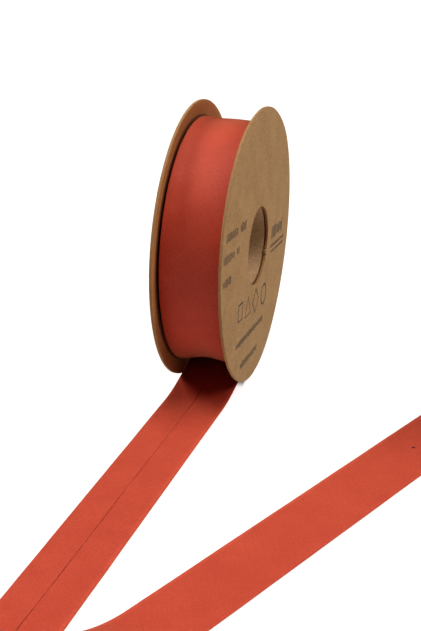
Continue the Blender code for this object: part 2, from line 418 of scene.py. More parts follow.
def swing(y):
    """Sideways place and slope of the tape's middle where it swings to the first run."""
    start = SWING_MIDDLE + SWING_LENGTH / 2.0
    end = SWING_MIDDLE - SWING_LENGTH / 2.0
    if y >= start:
        return ROLL_SHIFT, 0.0
    if y <= end:
        return FIRST_SLOPE * (y - SWING_MIDDLE), FIRST_SLOPE
    share = (start - y) / SWING_LENGTH
    straightened = ROLL_SHIFT * (1.0 - soft_step(share, 0.0, 1.0))
    return straightened - FIRST_SLOPE * share * (start - y) / 2.0, FIRST_SLOPE * share


def on_lead(run, across):
    """A point of the tape's underside on its way down, and the way up from it."""
    straight = min(run, SLOPE_LENGTH)
    steepness = LEAVING_ANGLE - max(run - SLOPE_LENGTH, 0.0) / LANDING_RADIUS
    curved = LANDING_RADIUS * (math.sin(LEAVING_ANGLE) - math.sin(steepness))
    lowered = LANDING_RADIUS * (math.cos(steepness) - math.cos(LEAVING_ANGLE))
    y = LEAVING_POINT.y - straight * math.cos(LEAVING_ANGLE) - curved
    z = LEAVING_POINT.z - straight * math.sin(LEAVING_ANGLE) - lowered
    x, slope = swing(y)
    place = Vector((x, y, z)) + Vector((1.0, -slope, 0.0)).normalized() * across
    return REEL + place, Vector((0.0, -math.sin(steepness), math.cos(steepness)))


def heading_vector(heading):
    """A level unit vector."""
    return Vector((math.cos(heading), math.sin(heading), 0.0))


FIRST_HEADING = heading_vector(FIRST_RUN_HEADING)
FIRST_ACROSS = Vector((-FIRST_HEADING.y, FIRST_HEADING.x, 0.0))
BEND_LINE = heading_vector((FIRST_RUN_HEADING + SECOND_RUN_HEADING) / 2.0)
BEND_FORWARD = Vector((BEND_LINE.y, -BEND_LINE.x, 0.0))
meeting_sideways = FIRST_RUN_OFFSET - FIRST_SLOPE * MEETING_DISTANCE
MEETING = REEL + Vector((meeting_sideways, -MEETING_DISTANCE, 0.0))

# %% The loop in which the tape turns over
loop_turn = math.pi + DESCENT_ANGLE
descent_share = (1.0 + math.cos(DESCENT_ANGLE)) ** 2 / math.sin(DESCENT_ANGLE)
loop_shape = loop_turn + math.sin(DESCENT_ANGLE) + descent_share
LOOP_LANDING_ARC = TURN_LANDING_RADIUS * DESCENT_ANGLE
NOSE_RADIUS = (2.0 * TURN_LANDING_DISTANCE - LOOP_LANDING_ARC) / loop_shape
NOSE_ARC = NOSE_RADIUS * loop_turn
loop_rise = NOSE_RADIUS * (1.0 + math.cos(DESCENT_ANGLE))
loop_fall = TURN_LANDING_RADIUS * (1.0 - math.cos(DESCENT_ANGLE))
LOOP_DESCENT = (loop_rise - loop_fall) / math.sin(DESCENT_ANGLE)
LIFT_OFF = TURN_LANDING_DISTANCE - NOSE_ARC - LOOP_DESCENT - LOOP_LANDING_ARC


def loop_section(run):
    """Forward place, height and turn of the tape after this length of the loop."""
    if run <= NOSE_ARC:
        turn = run / NOSE_RADIUS
        return NOSE_RADIUS * math.sin(turn), NOSE_RADIUS * (1.0 - math.cos(turn)), turn
    past = run - NOSE_ARC
    straight = min(past, LOOP_DESCENT)
    turn = loop_turn - min(max(past - LOOP_DESCENT, 0.0), LOOP_LANDING_ARC) / TURN_LANDING_RADIUS
    forward = NOSE_RADIUS * math.sin(loop_turn) + straight * math.cos(loop_turn)
    height = loop_rise + straight * math.sin(loop_turn)
    forward -= TURN_LANDING_RADIUS * (math.sin(turn) - math.sin(loop_turn))
    height += TURN_LANDING_RADIUS * (math.cos(turn) - math.cos(loop_turn))
    forward -= max(past - LOOP_DESCENT - LOOP_LANDING_ARC, 0.0)
    return forward, height, turn


def on_flat(run, across):
    """A point of the tape's middle layer past the meeting point's side, and its up."""
    forward_run = run * FIRST_HEADING.dot(BEND_FORWARD) + across * FIRST_ACROSS.dot(BEND_FORWARD)
    line_run = run * FIRST_HEADING.dot(BEND_LINE) + across * FIRST_ACROSS.dot(BEND_LINE)
    forward, height, turn = forward_run, 0.0, 0.0
    if forward_run > LIFT_OFF:
        forward, height, turn = loop_section(forward_run - LIFT_OFF)
        forward += LIFT_OFF
    place = MEETING + BEND_LINE * line_run + BEND_FORWARD * forward
    place.z = FREE_THICKNESS / 2.0 + height
    normal = Vector((0.0, 0.0, math.cos(turn))) - BEND_FORWARD * math.sin(turn)
    return place, normal


landed_place, _ = on_lead(LANDED_AT, 0.0)
MEETING_AT = LANDED_AT + (Vector((MEETING.x, MEETING.y, 0.0)) - landed_place).length
TAPE_END = MEETING_AT + SECOND_RUN_LENGTH
TAPE_START = -(math.tau + TUCKED_UNDER) * ROLL_RADIUS_AT_TOP
TAPE_LENGTH = TAPE_END - TAPE_START
print(f"tape piece {TAPE_LENGTH / MM:.0f} mm long, nose radius {NOSE_RADIUS / MM:.2f} mm")

# %% [markdown]
# ## The unevenness of real cloth
#
# Pressed cotton is never flat: it lies in slow swells of less than a tenth of a
# millimetre, and its raw edges lift and wander. These can't be left to a bump map,
# because they also change the outline of an edge. Smooth noise moves the points a little,
# always away from what the tape rests on.

# %% Swells, and where each point of the tape goes
SWELL = 0.09 * MM
SWELL_ACROSS = 9.0 * MM
SWELL_ALONG = 24.0 * MM
EDGE_WANDER = 0.07 * MM
PRESS_FADE = 24.0 * MM


def drift(a, b, seed):
    """Smooth noise between about -1 and 1."""
    return noise.noise(Vector((a, b, 7.3 * seed)))


def lay(along, across, height, thickness):
    """The point at this place along, across and up through the folded tape."""
    wander = EDGE_WANDER * drift(along / (14.0 * MM), 0.5 * across / TAPE_WIDTH, 1.0)
    across += wander * 2.0 * abs(across) / TAPE_WIDTH
    swell = SWELL * (0.5 + 0.5 * drift(across / SWELL_ACROSS, along / SWELL_ALONG, 2.0))
    if along < 0.0:
        angle = LEAVING_ANGLE - along / ROLL_RADIUS_AT_TOP
        buried = soft_step(angle, math.tau - math.radians(12.0), math.tau)
        radius = roll_outside(angle) + crown(across, angle) + swell * (1.0 - buried) * 0.6
        return about_axis(across + ROLL_SHIFT, radius - height, angle)
    settled = soft_step(along, 0.0, PRESS_FADE)
    proud = (crown(across, LEAVING_ANGLE) + 0.6 * swell) * (1.0 - settled)
    if along < LANDED_AT:
        place, normal = on_lead(along, across)
        return place + normal * (height - proud + swell * settled)
    place, normal = on_flat(along - MEETING_AT, across)
    return place + normal * (height - thickness / 2.0) + Vector((0.0, 0.0, swell * abs(normal.z)))


# %% [markdown]
# ## The loose tape and the outer turn
#
# The outermost turn and the loose end are one unbroken piece of cloth on the real reel, so
# they are one mesh here. It is a loft: the folded section is placed every millimetre or
# so along the tape, and neighbouring sections are joined. Its UV map holds metres of cut
# cloth, so that the weave runs round the folds without a break.

# %% Build the folded tape
STATION_SPACING = 1.25 * MM
SEAM_GAP = 0.15 * MM
SEAM_GAP_CHANGE = 0.12 * MM
RAW_EDGE_LIFT = 0.07 * MM
RAW_EDGE_REACH = 1.6 * MM


def seam_at(along):
    """The seam's place and width, which wander along the tape."""
    place = SEAM_OFFSET + 0.16 * MM * drift(along / (38.0 * MM), 0.0, 3.0)
    gap = SEAM_GAP + SEAM_GAP_CHANGE * drift(along / (11.0 * MM), 0.0, 4.0)
    return place, max(gap, 0.06 * MM)


def tape_ring(along):
    """Both faces of the cloth round the folded section, with their UV places."""
    free = soft_step(along, -4.0 * MM, 20.0 * MM)
    ply_gap = ROLL_PLY_GAP + (FREE_PLY_GAP - ROLL_PLY_GAP) * free
    thickness = 2.0 * PLY + ply_gap
    seam_place, seam_gap = seam_at(along)
    line = fold_line(ply_gap, seam_place, seam_gap)
    cut = cut_places(line)
    outer, inner = [], []
    for index, (x, height, out_x, out_height) in enumerate(line):
        from_raw_edge = abs(x - seam_place)
        if out_height == 1.0 and along > 0.0:
            curl = 0.5 + 0.5 * drift(along / (6.0 * MM), 3.0 if index < len(line) / 2 else 8.0, 5.0)
            height += RAW_EDGE_LIFT * curl * free * soft_step(from_raw_edge, RAW_EDGE_REACH, 0.0)
        for side, row in ((0.5, outer), (-0.5, inner)):
            point = lay(along, x + side * PLY * out_x, height + side * PLY * out_height, thickness)
            row.append((point, (cut[index], along)))
    return outer + inner[::-1]


def lofted(name, rings, wrap):
    """One closed mesh through equal rings of (point, uv), wrapped round or capped."""
    size = len(rings[0])
    faces = []
    last = len(rings) if wrap else len(rings) - 1
    for i in range(last):
        near = i * size
        far = (i + 1) % len(rings) * size
        for j in range(size):
            k = (j + 1) % size
            faces.append((near + j, near + k, far + k, far + j))
    if not wrap:
        for start in (0, last * size):
            for j in range(size // 2 - 1):
                faces.append((start + j, start + j + 1, start + size - 2 - j, start + size - 1 - j))
    points = [point for ring in rings for point, _ in ring]
    flat = [uv for ring in rings for _, uv in ring]
    mesh = bpy.data.meshes.new(name)
    mesh.from_pydata(points, [], faces)
    layer = mesh.uv_layers.new(name="cut_cloth")
    layer.data.foreach_set("uv", [c for loop in mesh.loops for c in flat[loop.vertex_index]])
    builder = bmesh.new()
    builder.from_mesh(mesh)
    bmesh.ops.recalc_face_normals(builder, faces=builder.faces)
    builder.to_mesh(mesh)
    builder.free()
    mesh.shade_smooth()
    return mesh


def new_piece(name, mesh, material):
    """An object at the origin with this mesh and finish."""
    mesh.materials.clear()
    mesh.materials.append(material)
    piece = bpy.data.objects.new(name, mesh)
    bpy.context.scene.collection.objects.link(piece)
    return piece


SPECK_ALONG = TAPE_END - 35.4 * MM
SPECK_ACROSS = -0.8 * MM
bias_cotton = cloth_material(SPECK_ACROSS, SPECK_ALONG)
station_count = round(TAPE_LENGTH / STATION_SPACING)
stations = steps(TAPE_START, TAPE_END, station_count)
tape_mesh = lofted("loose_tape", [tape_ring(along) for along in stations], wrap=False)
tape_mesh.set_sharp_from_angle(angle=math.radians(50.0))
loose_tape = new_piece("loose_tape", tape_mesh, bias_cotton)
print(f"loose tape: {len(stations)} sections, {len(tape_mesh.vertices)} points")

# %% [markdown]
# ## The turns inside the roll
#
# Under the outer turn lie about 54 more, and their edges show in the narrow gap beside
# each disc. A plain drum would leave that gap smooth. The turns are a spiral, which
# Geometry Nodes draws in one node: the section of the pressed tape is swept along it, and
# noise shifts each turn a little along the axis, as the winding machine left it.

# %% Helpers: make a geometry tree, and run it into a plain mesh
def geometry_tree(name, inputs):
    """A geometry tree whose named inputs have these kinds and default values."""
    tree = bpy.data.node_groups.new(name, "GeometryNodeTree")
    tree.interface.new_socket("Geometry", in_out="OUTPUT", socket_type="NodeSocketGeometry")
    for label, value in inputs.items():
        kind = "NodeSocketInt" if isinstance(value, int) else "NodeSocketFloat"
        if isinstance(value, Vector):
            kind = "NodeSocketVector"
        socket = tree.interface.new_socket(label, in_out="INPUT", socket_type=kind)
        socket.default_value = value
    return tree, tree.nodes.new("NodeGroupInput").outputs


def finish_tree(tree, geometry, material):
    """End a tree with Realize Instances and Set Material."""
    real = node(tree, "GeometryNodeRealizeInstances", {"Geometry": geometry})
    painted = node(tree, "GeometryNodeSetMaterial", {"Geometry": real.outputs[0], "Material": material})
    node(tree, "NodeGroupOutput", {"Geometry": painted.outputs[0]})


def grown(name, tree, **values):
    """Run a tree with these inputs on an empty mesh and return the mesh that it makes."""
    holder = bpy.data.objects.new(name, bpy.data.meshes.new(name))
    bpy.context.scene.collection.objects.link(holder)
    modifier = holder.modifiers.new(name, "NODES")
    modifier.node_group = tree
    for item in tree.interface.items_tree:
        key = item.name.lower().replace(" ", "_")
        if item.in_out == "INPUT" and key in values:
            modifier[item.identifier] = values[key]
    evaluated = holder.evaluated_get(bpy.context.evaluated_depsgraph_get())
    mesh = bpy.data.meshes.new_from_object(evaluated)
    bpy.data.objects.remove(holder)
    return mesh


# %% Geometry tree: a tape wound in a spiral
TURN_RESOLUTION = 60
TAPE_CUTS = 5
WINDING_WANDER = 0.15 * MM


def winding_tree():
    """The pressed tape's section swept along a flat spiral, from the outside inwards."""
    tree, given = geometry_tree("winding", {
        "Outer Radius": 0.04,
        "Inner Radius": 0.01,
        "Turns": 10.0,
        "Points A Turn": 48,
        "Tape Width": 0.02,
        "Tape Thickness": 0.001,
        "Wander": 0.0,
    })
    spiral = node(tree, "GeometryNodeCurveSpiral", {
        "Resolution": given["Points A Turn"],
        "Rotations": given["Turns"],
        "Start Radius": given["Outer Radius"],
        "End Radius": given["Inner Radius"],
        "Height": 0.0,
        "Reverse": True,
    })
    upright = node(tree, "GeometryNodeSetCurveNormal", {"Curve": spiral.outputs[0]}, mode="Z_UP")
    factor = node(tree, "GeometryNodeSplineParameter").outputs["Factor"]
    turn = node(tree, "ShaderNodeMath", {0: factor, 1: given["Turns"]}, operation="MULTIPLY")
    along_turns = {"W": turn.outputs[0], "Scale": 0.8, "Detail": 1.0}
    slow = node(tree, "ShaderNodeTexNoise", along_turns, noise_dimensions="1D")
    centred = node(tree, "ShaderNodeMath", {0: slow.outputs["Fac"], 1: 0.5}, operation="SUBTRACT")
    doubled = node(tree, "ShaderNodeMath", {0: centred.outputs[0], 1: 4.0}, operation="MULTIPLY")
    shift = node(tree, "ShaderNodeMath", {0: doubled.outputs[0], 1: given["Wander"]}, operation="MULTIPLY")
    offset = node(tree, "ShaderNodeCombineXYZ", {"Z": shift.outputs[0]})
    shifted = node(tree, "GeometryNodeSetPosition", {
        "Geometry": upright.outputs[0],
        "Offset": offset.outputs[0],
    })
    section = node(tree, "GeometryNodeCurvePrimitiveQuadrilateral", {
        "Width": given["Tape Thickness"],
        "Height": given["Tape Width"],
    })
    finer = node(tree, "GeometryNodeSubdivideCurve", {"Curve": section.outputs[0], "Cuts": TAPE_CUTS})
    swept = node(tree, "GeometryNodeCurveToMesh", {
        "Curve": shifted.outputs[0],
        "Profile Curve": finer.outputs[0],
        "Fill Caps": True,
    })
    finish_tree(tree, swept.outputs[0], bias_cotton)
    return tree


# %% Wind the tape, turn the spiral onto the axis and crown it
wound_start = math.tau + LEAVING_ANGLE + TUCKED_UNDER
wound_outer = roll_outside(wound_start) - WOUND_LAYER / 2.0
wound_inner = TUBE_OUTER_RADIUS + 0.12 * MM + WOUND_LAYER / 2.0
wound_turns = (wound_outer - wound_inner) / WOUND_LAYER
wound_mesh = grown(
    "wound_tape",
    winding_tree(),
    outer_radius=wound_outer,
    inner_radius=wound_inner,
    turns=wound_turns,
    points_a_turn=TURN_RESOLUTION,
    tape_width=TAPE_WIDTH,
    tape_thickness=WOUND_LAYER - 0.02 * MM,
    wander=WINDING_WANDER,
)
sine, cosine = math.sin(wound_start), math.cos(wound_start)
onto_axis = Matrix(((0.0, 0.0, 1.0), (sine, cosine, 0.0), (-cosine, sine, 0.0)))
CROWN_DEPTH = 12.0 * MM
for vertex in wound_mesh.vertices:
    place = onto_axis @ vertex.co
    radius = math.hypot(place.y, place.z)
    angle = math.atan2(place.y, -place.z)
    inward = soft_step(radius, ROLL_RADIUS_AT_TOP - CROWN_DEPTH, ROLL_RADIUS_AT_TOP)
    vertex.co = about_axis(place.x + ROLL_SHIFT, radius + crown(place.x, angle) * inward, angle)
wound_tape = new_piece("wound_tape", wound_mesh, bias_cotton)
print(f"wound tape: {wound_turns:.1f} turns, {len(wound_mesh.polygons)} faces")

# %% [markdown]
# ## The card discs
#
# Each disc is die-cut from brown kraft board: its edges are a little rounded by the die.
# The right one is slightly twisted, its top is rubbed down, and its hole has a small nick,
# a torn flap and an upper edge darkened by painted shade. The left one is dished. Both
# inner faces carry painted light: a warm tint for the red light that the roll throws on them,
# and a dark red painted shade in the crevice next to the roll. A cylinder with a hole would
# do for the shape alone. A turned ring with its own section at every angle lets the edge,
# the flat spot under it and the damage be part of the board.

# %% Material: brown kraft board
CARD_COLOUR = (0.396, 0.250, 0.124, 1.0)
CARD_PALE = (0.525, 0.355, 0.185, 1.0)
CARD_DARK = (0.250, 0.144, 0.068, 1.0)
CARD_EDGE = (0.350, 0.205, 0.100, 1.0)
# Painted light: a warm tint for the red light that the roll throws on the inner faces.
ROLL_BOUNCE_TINT = (1.14, 0.93, 0.80, 1.0)
# Painted shade: a dark red band on the inner faces next to the roll, where the crevice lies in shadow; it
# also falls on the hole's upper edge.
CREVICE_SHADE_COLOUR = (0.085, 0.012, 0.005, 1.0)
CREVICE_SHADE_RADIUS = 40.7 * MM
CREVICE_SHADE_FADE = 0.9 * MM
CREVICE_SHADE_SHARE = 0.6


def mapped(tree, place, **settings):
    """A place moved, turned or stretched by one Mapping node."""
    return node(tree, "ShaderNodeMapping", {"Vector": place, **settings}).outputs[0]


def card_material(name, colour, pale, dark, edge):
    """Mottled kraft board with fibres; a cut edge shows its plies."""
    material, tree, shader = new_material(name, 0.88)
    place = node(tree, "ShaderNodeTexCoord").outputs["Object"]
    fibre_one = mapped(tree, place, Rotation=(0.5, 0.0, 0.0), Scale=(1.0, 1.0, 7.0))
    fibre_two = mapped(tree, place, Rotation=(-0.7, 0.0, 0.0), Scale=(1.0, 1.0, 6.0))
    cloud = speckle(tree, place, 120.0, 3.0, 0.55)
    fine = speckle(tree, place, 1400.0, 3.0, 0.65)
    strand_one = speckle(tree, fibre_one, 500.0, 2.0)
    strand_two = speckle(tree, fibre_two, 430.0, 2.0)
    strands = calc(tree, "ADD", strand_one, strand_two)
    tone = calc(tree, "MULTIPLY_ADD", cloud, 0.8, -0.40)
    tone = calc(tree, "MULTIPLY_ADD", fine, 1.8, calc(tree, "SUBTRACT", tone, 0.90))
    tone = calc(tree, "MULTIPLY_ADD", strands, 0.7, calc(tree, "SUBTRACT", tone, 0.70))
    lighter = calc(tree, "MULTIPLY", tone, 1.0)
    lighter.node.use_clamp = True
    darker = calc(tree, "MULTIPLY", tone, -1.0)
    darker.node.use_clamp = True
    mixed = blend_colours(tree, lighter, colour, pale)
    mixed = blend_colours(tree, darker, mixed, dark)
    fleck_noise = speckle(tree, fibre_one, 900.0, 1.0)
    fleck = fade(tree, fleck_noise, 0.70, 0.78, 0.0, 0.55)
    mixed = blend_colours(tree, fleck, mixed, dark)
    pale_noise = speckle(tree, fibre_two, 1000.0, 1.0)
    mixed = blend_colours(tree, fade(tree, pale_noise, 0.72, 0.80, 0.0, 0.5), mixed, pale)
    at_edge = node(tree, "ShaderNodeAttribute", attribute_name="cut_edge").outputs["Fac"]
    plies = speckle(tree, mapped(tree, place, Scale=(9.0, 1.0, 1.0)), 600.0, 2.0)
    edge_tone = blend_colours(tree, fade(tree, plies, 0.35, 0.65), mixed, edge)
    mixed = blend_colours(tree, at_edge, mixed, edge_tone)
    # Painted light: the inner_face share tints the inner faces warm for the roll's red bounce light, and
    # darkens the hole's upper edge as painted shade.
    inner = node(tree, "ShaderNodeAttribute", attribute_name="inner_face").outputs["Fac"]
    mixed = blend_colours(tree, inner, mixed, ROLL_BOUNCE_TINT, "MULTIPLY")
    # Painted shade: the inner faces turn dark red close to the roll, where the crevice lies in shadow, and
    # so does the hole's upper edge.
    to_axis = (0.0, -REEL.y, -AXIS_HEIGHT)
    from_axis = mapped(tree, place, Location=to_axis, Scale=(0.0, 1.0, 1.0))
    length = node(tree, "ShaderNodeVectorMath", {0: from_axis}, operation="LENGTH")
    crevice_shade = fade(tree, length.outputs["Value"], CREVICE_SHADE_RADIUS + CREVICE_SHADE_FADE, CREVICE_SHADE_RADIUS, 0.0, CREVICE_SHADE_SHARE)
    painted_shading = calc(tree, "MULTIPLY", inner, crevice_shade)
    mixed = blend_colours(tree, painted_shading, mixed, CREVICE_SHADE_COLOUR)
    tree.links.new(mixed, shader.inputs["Base Color"])
    height = calc(tree, "ADD", fine, calc(tree, "MULTIPLY", strands, 0.6))
    bump = node(tree, "ShaderNodeBump", {"Strength": 0.35, "Distance": 0.05 * MM, "Height": height})
    tree.links.new(bump.outputs["Normal"], shader.inputs["Normal"])
    shader.inputs["Specular IOR Level"].default_value = 0.3
    return material


kraft = card_material("kraft_board", CARD_COLOUR, CARD_PALE, CARD_DARK, CARD_EDGE)

# %% Build a disc with rounded, slightly uneven edges
DISC_HOLE_RADIUS = 13.15 * MM
DISC_SIDES = 288
FACE_STEPS = 20
EDGE_ROUNDING = 0.14 * MM
WARP = 0.10 * MM
TWIST = 0.60 * MM
DISH = 0.65 * MM
HOLE_DROP = 0.6 * MM
WORN_TOP = 0.8 * MM
NICK_ANGLE = math.radians(211.5)
NICK_DEPTH = 0.55 * MM
FLAP_ANGLE = math.radians(60.0)
FLAP_REACH = 1.0 * MM
HOLE_SHADE = 0.7


def disc_warp(point, side):
    """How far the board bends out of its plane: the right one twists, the left one is dished."""
    y, z = point.y - REEL.y, point.z - AXIS_HEIGHT
    bend = WARP * drift(y / (38.0 * MM), z / (38.0 * MM), 6.0)
    if side > 0.0:
        return bend + TWIST * y * z / DISC_RADIUS ** 2
    radius = math.hypot(y, z)
    return bend - DISH * soft_step(radius, 45.8 * MM, 41.5 * MM) * soft_step(radius, 15.0 * MM, 24.0 * MM)


def hole_radius(angle, damaged):
    """The hole's edge at this angle: die-cut, or with its nick and its torn flap."""
    radius = DISC_HOLE_RADIUS + 0.04 * MM * drift(9.0 * math.cos(angle), 9.0 * math.sin(angle), 7.0)
    if damaged:
        radius += HOLE_DROP * math.cos(angle)
        radius += NICK_DEPTH * soft_step(abs(angle - NICK_ANGLE), math.radians(4.0), 0.0)
        torn = 1.0 + 0.5 * drift(angle * 60.0, 0.0, 8.0)
        off_flap = abs(angle - FLAP_ANGLE)
        radius -= FLAP_REACH * torn * soft_step(off_flap, math.radians(3.6), math.radians(1.2))
    return radius


def disc_ring(angle, inner_face, outer_face, damaged):
    """The disc's section at one angle: (point, (share of painted light and shade, share of cut edge))."""
    uneven = 0.5 + 0.5 * drift(14.0 * math.cos(angle), 14.0 * math.sin(angle), 9.0)
    outside = DISC_RADIUS - 0.03 * MM * uneven
    if math.cos(angle) * outside > AXIS_HEIGHT:
        outside = AXIS_HEIGHT / math.cos(angle)
    if damaged:
        outside -= WORN_TOP * soft_step(-math.cos(angle + math.radians(12.0)), 0.75, 0.98)
    inside = hole_radius(angle, damaged)
    lean = 1.0 if outer_face > inner_face else -1.0
    # Painted shade on the hole's upper edge, carried in the inner_face share.
    hole_shade = HOLE_SHADE * soft_step(-math.cos(angle), -0.5, -0.1) if damaged else 0.0
    corner = []
    for turn in steps(0.0, math.pi / 2.0, 3):
        corner.append((EDGE_ROUNDING * (1.0 - math.cos(turn)), EDGE_ROUNDING * (1.0 - math.sin(turn))))
    section = []
    for share in steps(0.0, 1.0, FACE_STEPS):
        radius = inside + EDGE_ROUNDING + (outside - inside - 2.0 * EDGE_ROUNDING) * share
        section.append((radius, inner_face, 0.0, 1.0))
    for down, deep in reversed(corner[:-1]):
        section.append((outside - down, inner_face + lean * deep, 1.0, 0.0))
    for down, deep in corner[:-1]:
        section.append((outside - down, outer_face - lean * deep, 1.0, 0.0))
    for share in steps(1.0, 0.0, FACE_STEPS):
        radius = inside + EDGE_ROUNDING + (outside - inside - 2.0 * EDGE_ROUNDING) * share
        section.append((radius, outer_face, 0.0, 0.0))
    for down, deep in reversed(corner[:-1]):
        section.append((inside + down, outer_face - lean * deep, 1.0, hole_shade))
    for down, deep in corner[:-1]:
        section.append((inside + down, inner_face + lean * deep, 1.0, hole_shade))
    ring = []
    for radius, x, edge, painted_shading in section:
        point = about_axis(x, radius, angle)
        point.x += disc_warp(point, lean)
        ring.append((point, (painted_shading, edge)))
    return ring


def edge_attribute(mesh, rings):
    """Store which points lie on a cut edge and, as inner_face, how much painted light and shade each
    takes; drop the UV map.
    """
    mesh.uv_layers.remove(mesh.uv_layers[0])
    for part, name in enumerate(("inner_face", "cut_edge")):
        values = mesh.attributes.new(name, "FLOAT", "POINT")
        values.data.foreach_set("value", [uv[part] for ring in rings for _, uv in ring])


def card_disc(name, side, damaged):
    """One disc; side is -1 on the left and 1 on the right."""
    inner_face = side * DISC_SPACING / 2.0
    outer_face = inner_face + side * DISC_THICKNESS
    angles = [math.tau * i / DISC_SIDES for i in range(DISC_SIDES)]
    rings = [disc_ring(angle, inner_face, outer_face, damaged) for angle in angles]
    mesh = lofted(name, rings, wrap=True)
    edge_attribute(mesh, rings)
    mesh.set_sharp_from_angle(angle=math.radians(50.0))
    return new_piece(name, mesh, kraft)


disc_left = card_disc("disc_left", -1.0, damaged=False)
disc_right = card_disc("disc_right", 1.0, damaged=True)
print(f"each disc: {len(disc_left.data.polygons)} faces")

# %% [markdown]
# ## The card tube
#
# The tube is wound from narrow strips of paper on a slant, so a fine spiral line runs
# round its bore. It is a turned ring again, with a shallow groove where two strips meet.

# %% Build the tube with its slanting seam
TUBE_INNER_RADIUS = 12.8 * MM
TUBE_SIDES = 160
TUBE_STEPS = 30
STRIP_PITCH = 24.0 * MM
SEAM_GROOVE = 0.12 * MM
TUBE_COLOUR = (0.405, 0.275, 0.165, 1.0)
TUBE_PALE = (0.540, 0.395, 0.255, 1.0)
TUBE_DARK = (0.270, 0.165, 0.085, 1.0)
tube_kraft = card_material("tube_board", TUBE_COLOUR, TUBE_PALE, TUBE_DARK, CARD_EDGE)


def groove(x, angle, slant):
    """Depth of the slanting seam at this place along and round the tube."""
    place = (x + slant * STRIP_PITCH * angle / math.tau) % STRIP_PITCH
    away = min(place, STRIP_PITCH - place)
    return SEAM_GROOVE * soft_step(away, 0.8 * MM, 0.0)


def tube_ring(angle):
    """The tube's section at one angle, along the bore and back outside."""
    half = TUBE_LENGTH / 2.0
    ring = []
    for x in steps(-half, half, TUBE_STEPS):
        edge = soft_step(abs(x), half - 0.3 * MM, half)
        radius = TUBE_INNER_RADIUS + groove(x, angle, 1.0) + 0.1 * MM * edge
        ring.append((about_axis(x, radius, angle), (0.0, edge)))
    for x in steps(half, -half, TUBE_STEPS):
        edge = soft_step(abs(x), half - 0.3 * MM, half)
        radius = TUBE_OUTER_RADIUS - groove(x, angle, -1.0) - 0.1 * MM * edge
        ring.append((about_axis(x, radius, angle), (0.0, edge)))
    return ring


tube_rings = [tube_ring(math.tau * i / TUBE_SIDES) for i in range(TUBE_SIDES)]
tube_mesh = lofted("tube", tube_rings, wrap=True)
edge_attribute(tube_mesh, tube_rings)
tube_mesh.set_sharp_from_angle(angle=math.radians(50.0))
tube = new_piece("tube", tube_mesh, tube_kraft)
print(f"tube: {len(tube_mesh.polygons)} faces")

# %% [markdown]
# ## The print marks
#
# The right disc carries small grey print. Its places hold plain marks of the same ink and
# size: rows of ruled ticks as on a scale, four plain outlines, and a block of rules. The
# ticks repeat, so Geometry Nodes instances one small bar along each row with a random
# height, and an outline is a flat bar swept round a circle with few or many corners.

# %% Material: grey ink on card
INK_COLOUR = (0.050, 0.042, 0.036, 1.0)
INK_THIN = (0.105, 0.075, 0.050, 1.0)


def ink_material():
    """Thin grey ink that covers the card unevenly."""
    material, tree, shader = new_material("grey_ink", 0.75)
    place = node(tree, "ShaderNodeTexCoord").outputs["Object"]
    worn = speckle(tree, place, 1600.0, 3.0, 0.7)
    colour = blend_colours(tree, fade(tree, worn, 0.40, 0.70), INK_COLOUR, INK_THIN)
    tree.links.new(colour, shader.inputs["Base Color"])
    bump = node(tree, "ShaderNodeBump", {"Strength": 0.3, "Distance": 0.03 * MM, "Height": worn})
    tree.links.new(bump.outputs["Normal"], shader.inputs["Normal"])
    return material


ink = ink_material()

# %% Geometry trees: a row of ticks, and a plain outline
INK_DEPTH = 0.06 * MM


def tick_row_tree():
    """Upright bars at even steps along a line, with random heights."""
    tree, given = geometry_tree("tick_row", {
        "Start": Vector((0.0, 0.0, 0.0)),
        "Step": Vector((0.0, 0.001, 0.0)),
        "Count": 10,
        "Lean": 0.0,
        "Tick Width": 0.0005,
        "Tick Height": 0.002,
        "Depth": INK_DEPTH,
        "Seed": 1,
    })
    line = node(tree, "GeometryNodeMeshLine", {
        "Count": given["Count"],
        "Start Location": given["Start"],
        "Offset": given["Step"],
    })
    size = node(tree, "ShaderNodeCombineXYZ", {
        0: given["Depth"],
        1: given["Tick Width"],
        2: given["Tick Height"],
    })
    bar = node(tree, "GeometryNodeMeshCube", {"Size": size.outputs[0]})
    tall = node(tree, "FunctionNodeRandomValue", {"Seed": given["Seed"]}, data_type="FLOAT_VECTOR")
    tall.inputs["Min"].default_value = (1.0, 0.6, 0.55)
    tall.inputs["Max"].default_value = (1.0, 1.3, 1.0)
    turn = node(tree, "ShaderNodeCombineXYZ", {0: given["Lean"]})
    ticks = node(tree, "GeometryNodeInstanceOnPoints", {
        "Points": line.outputs[0],
        "Instance": bar.outputs[0],
        "Rotation": turn.outputs[0],
        "Scale": tall.outputs[0],
    })
    finish_tree(tree, ticks.outputs[0], ink)
    return tree


